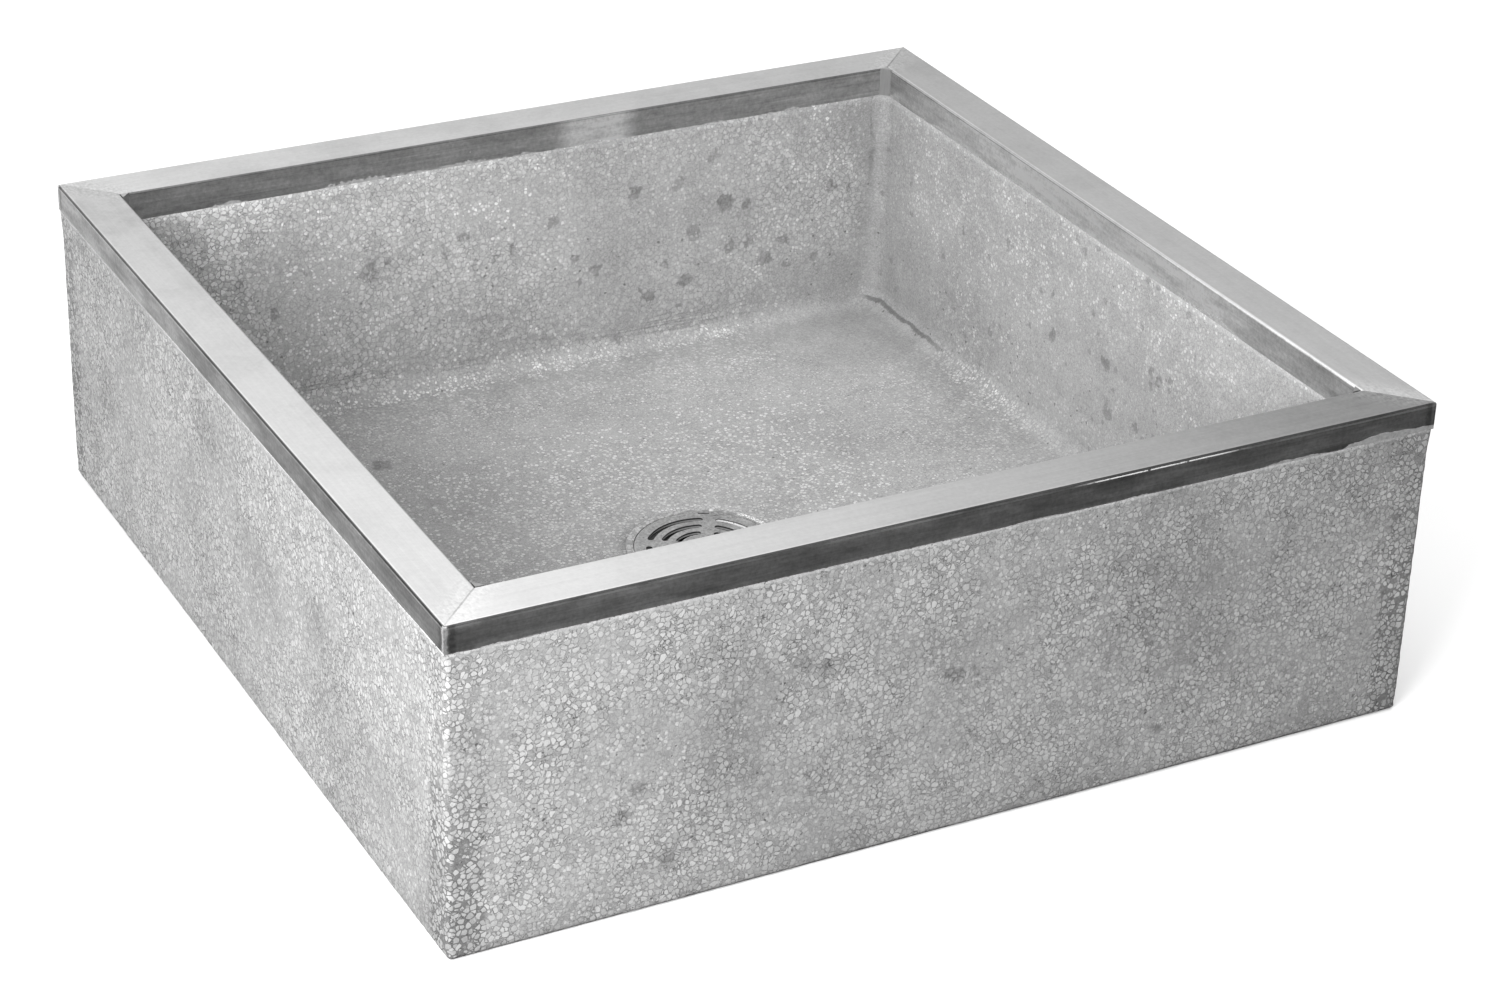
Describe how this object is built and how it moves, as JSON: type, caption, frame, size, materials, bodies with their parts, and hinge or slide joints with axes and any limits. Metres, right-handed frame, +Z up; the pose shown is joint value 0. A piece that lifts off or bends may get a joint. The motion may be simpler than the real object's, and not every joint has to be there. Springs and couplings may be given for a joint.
{
  "type": "mop service basin",
  "caption": "Square floor-standing mop service basin of cast terrazzo with mitred stainless-steel rim caps and a screwed-down slotted drain strainer.",
  "frame": {"origin": "centre of the base, on the floor, in line with the drain", "axes": "+Z up, -Y the front side, +X to the right seen from the front"},
  "size_m": [0.9144, 0.9144, 0.3048],
  "materials": {
    "terrazzo": "ground marble chips in grey cement, sealed",
    "cap_steel": "brushed along each side",
    "anchor_steel": "mill finish, cast in",
    "galvanised_wire": "galvanised, cast in",
    "drain_casting": "cast stainless, ground level with the floor",
    "gasket_rubber": "plain moulded",
    "strainer_plate": "satin plate with cut slots",
    "screw_steel": "plain"
  },
  "bodies": {
    "basin": {"basin": "terrazzo", "cap_front": "cap_steel", "cap_right": "cap_steel", "cap_back": "cap_steel", "cap_left": "cap_steel", "filler_front_left": "cap_steel", "filler_front_right": "cap_steel", "filler_back_right": "cap_steel", "filler_back_left": "cap_steel", "anchors_front": "anchor_steel", "anchors_right": "anchor_steel", "anchors_back": "anchor_steel", "anchors_left": "anchor_steel", "mesh_floor": "galvanised_wire", "mesh_front": "galvanised_wire", "mesh_right": "galvanised_wire", "mesh_back": "galvanised_wire", "mesh_left": "galvanised_wire", "drain_body": "drain_casting", "drain_gasket": "gasket_rubber"},
    "strainer": {"strainer": "strainer_plate"},
    "screw_a": {"strainer_screw_a": "screw_steel"},
    "screw_b": {"strainer_screw_b": "screw_steel"}
  },
  "joints": [
    {"name": "strainer_lift", "type": "slide", "parent": "basin", "child": "strainer", "axis": [0, 0, 1], "range_m": [0, 0.3]},
    {"name": "screw_a_turn", "type": "hinge", "parent": "strainer", "child": "screw_a", "pos_m": [0.03603, 0.04959, 0.035], "axis": [0, 0, 1], "continuous": true},
    {"name": "screw_b_turn", "type": "hinge", "parent": "strainer", "child": "screw_b", "pos_m": [-0.03603, -0.04959, 0.035], "axis": [0, 0, 1], "continuous": true}
  ]
}
